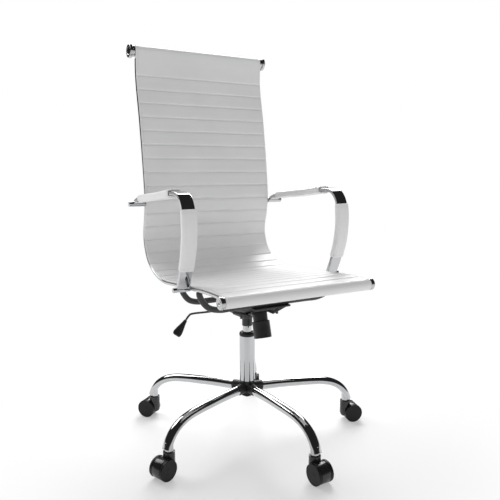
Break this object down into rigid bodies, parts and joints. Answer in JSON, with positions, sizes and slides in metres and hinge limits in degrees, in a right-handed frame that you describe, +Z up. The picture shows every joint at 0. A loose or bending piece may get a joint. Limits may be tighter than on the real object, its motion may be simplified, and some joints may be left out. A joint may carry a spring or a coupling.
{
  "type": "swivel office chair",
  "caption": "High-back swivel chair with a ribbed white sling seat, flat chrome loop arms with padded sleeves, gas lift, tilt mechanism and arched chrome base on casters.",
  "frame": {"origin": "middle of the footprint's bounding box on the floor, under the wheels", "axes": "+Z up along the gas lift, the sitter faces -Y, +X is the sitter's left"},
  "size_m": [0.7042, 0.6949, 1.1509],
  "materials": {
    "white_leather": "smooth white upholstery with soft sheen",
    "chrome": "polished",
    "plain_steel": "machined",
    "black_steel": "black powder coat",
    "black_plastic": "fine moulded grain"
  },
  "bodies": {
    "base": {"base_hub": "black_plastic", "column_tube": "chrome", "column_bush": "black_plastic", "thrust_bearing": "plain_steel", "base_leg_1": "chrome", "base_leg_2": "chrome", "base_leg_3": "chrome", "base_leg_4": "chrome", "base_leg_5": "chrome"},
    "swivel_rod": {"piston_rod": "plain_steel", "retaining_clip": "plain_steel"},
    "lift": {"gas_cylinder": "plain_steel", "mechanism_housing": "black_steel", "tilt_spring": "plain_steel", "tilt_pivot_pin": "plain_steel"},
    "valve": {"valve_pin": "plain_steel"},
    "lever": {"lever_rod": "black_steel", "lever_paddle": "black_plastic"},
    "knob": {"tension_knob": "black_plastic"},
    "tension": {"tension_bolt": "plain_steel"},
    "seat": {"seat_plate": "black_steel", "front_cross_tube": "black_steel", "rear_cross_tube": "black_steel", "side_rail_left": "chrome", "side_rail_right": "chrome", "sling": "white_leather", "top_bar": "plain_steel", "front_bar": "plain_steel", "top_end_cap_left": "chrome", "top_end_cap_right": "chrome", "front_end_cap_left": "chrome", "front_end_cap_right": "chrome", "arm_left": "chrome", "arm_right": "chrome", "arm_top_pad_left": "white_leather", "arm_top_pad_right": "white_leather", "arm_front_pad_left": "white_leather", "arm_front_pad_right": "white_leather"},
    "caster_1": {"caster_stem_1": "plain_steel", "caster_hood_1": "black_plastic"},
    "wheel_1a": {"caster_wheel_1a": "black_plastic"},
    "wheel_1b": {"caster_wheel_1b": "black_plastic"},
    "caster_2": {"caster_stem_2": "plain_steel", "caster_hood_2": "black_plastic"},
    "wheel_2a": {"caster_wheel_2a": "black_plastic"},
    "wheel_2b": {"caster_wheel_2b": "black_plastic"},
    "caster_3": {"caster_stem_3": "plain_steel", "caster_hood_3": "black_plastic"},
    "wheel_3a": {"caster_wheel_3a": "black_plastic"},
    "wheel_3b": {"caster_wheel_3b": "black_plastic"},
    "caster_4": {"caster_stem_4": "plain_steel", "caster_hood_4": "black_plastic"},
    "wheel_4a": {"caster_wheel_4a": "black_plastic"},
    "wheel_4b": {"caster_wheel_4b": "black_plastic"},
    "caster_5": {"caster_stem_5": "plain_steel", "caster_hood_5": "black_plastic"},
    "wheel_5a": {"caster_wheel_5a": "black_plastic"},
    "wheel_5b": {"caster_wheel_5b": "black_plastic"}
  },
  "joints": [
    {"name": "seat_swivel", "type": "hinge", "parent": "base", "child": "swivel_rod", "pos_m": [-0.00535, 0.01735, 0.2], "axis": [0, 0, 1], "continuous": true},
    {"name": "height_slide", "type": "slide", "parent": "swivel_rod", "child": "lift", "axis": [0, 0, 1], "range_m": [0, 0.1]},
    {"name": "seat_tilt", "type": "hinge", "parent": "lift", "child": "seat", "pos_m": [-0.00535, -0.01765, 0.395], "axis": [-1, 0, 0], "range_deg": [0, 14], "stiffness_Nm_per_rad": 110, "springref_deg": -20.05},
    {"name": "lever_lift", "type": "hinge", "parent": "lift", "child": "lever", "pos_m": [-0.04085, 0.01735, 0.383], "axis": [0, 1, 0], "range_deg": [0, 8], "stiffness_Nm_per_rad": 1.5, "springref_deg": -8.59},
    {"name": "valve_press", "type": "slide", "parent": "lift", "child": "valve", "axis": [0, 0, 1], "range_m": [-0.0056, 0], "stiffness_N_per_m": 500},
    {"name": "knob_turn", "type": "hinge", "parent": "lift", "child": "knob", "pos_m": [-0.00535, -0.05265, 0.38434], "axis": [0, 0.2756, 0.9613], "range_deg": [-900, 900]},
    {"name": "tension_draw", "type": "slide", "parent": "lift", "child": "tension", "axis": [0, 0.2756, 0.9613], "range_m": [-0.004, 0.004]},
    {"name": "caster_1_swivel", "type": "hinge", "parent": "base", "child": "caster_1", "pos_m": [-0.20524, 0.26183, 0.067], "axis": [0, 0, 1], "continuous": true},
    {"name": "wheel_1a_spin", "type": "hinge", "parent": "caster_1", "child": "wheel_1a", "pos_m": [-0.20402, 0.28996, 0.0275], "axis": [-0.7742, -0.633, 0], "continuous": true},
    {"name": "wheel_1b_spin", "type": "hinge", "parent": "caster_1", "child": "wheel_1b", "pos_m": [-0.23305, 0.26622, 0.0275], "axis": [-0.7742, -0.633, 0], "continuous": true},
    {"name": "caster_2_swivel", "type": "hinge", "parent": "base", "child": "caster_2", "pos_m": [-0.29964, -0.09721, 0.067], "axis": [0, 0, 1], "continuous": true},
    {"name": "wheel_2a_spin", "type": "hinge", "parent": "caster_2", "child": "wheel_2a", "pos_m": [-0.32601, -0.08736, 0.0275], "axis": [0.3628, -0.9319, 0], "continuous": true},
    {"name": "wheel_2b_spin", "type": "hinge", "parent": "caster_2", "child": "wheel_2b", "pos_m": [-0.31241, -0.1223, 0.0275], "axis": [0.3628, -0.9319, 0], "continuous": true},
    {"name": "caster_3_swivel", "type": "hinge", "parent": "base", "child": "caster_3", "pos_m": [0.01266, -0.29794, 0.067], "axis": [0, 0, 1], "continuous": true},
    {"name": "wheel_3a_spin", "type": "hinge", "parent": "caster_3", "child": "wheel_3a", "pos_m": [-0.00486, -0.31997, 0.0275], "axis": [0.9984, 0.057, 0], "continuous": true},
    {"name": "wheel_3b_spin", "type": "hinge", "parent": "caster_3", "child": "wheel_3b", "pos_m": [0.03258, -0.31783, 0.0275], "axis": [0.9984, 0.057, 0], "continuous": true},
    {"name": "caster_4_swivel", "type": "hinge", "parent": "base", "child": "caster_4", "pos_m": [0.30007, -0.06295, 0.067], "axis": [0, 0, 1], "continuous": true},
    {"name": "wheel_4a_spin", "type": "hinge", "parent": "caster_4", "child": "wheel_4a", "pos_m": [0.31561, -0.08642, 0.0275], "axis": [0.2543, 0.9671, 0], "continuous": true},
    {"name": "wheel_4b_spin", "type": "hinge", "parent": "caster_4", "child": "wheel_4b", "pos_m": [0.32515, -0.05015, 0.0275], "axis": [0.2543, 0.9671, 0], "continuous": true},
    {"name": "caster_5_swivel", "type": "hinge", "parent": "base", "child": "caster_5", "pos_m": [0.1654, 0.28301, 0.067], "axis": [0, 0, 1], "continuous": true},
    {"name": "wheel_5a_spin", "type": "hinge", "parent": "caster_5", "child": "wheel_5a", "pos_m": [0.19252, 0.29054, 0.0275], "axis": [-0.8412, 0.5407, 0], "continuous": true},
    {"name": "wheel_5b_spin", "type": "hinge", "parent": "caster_5", "child": "wheel_5b", "pos_m": [0.16098, 0.31081, 0.0275], "axis": [-0.8412, 0.5407, 0], "continuous": true}
  ],
  "couplings": [
    {"joint": "valve_press", "follows": "lever_lift", "m_per_rad": -0.0385},
    {"joint": "tension_draw", "follows": "knob_turn", "m_per_rad": 0.00023873}
  ]
}
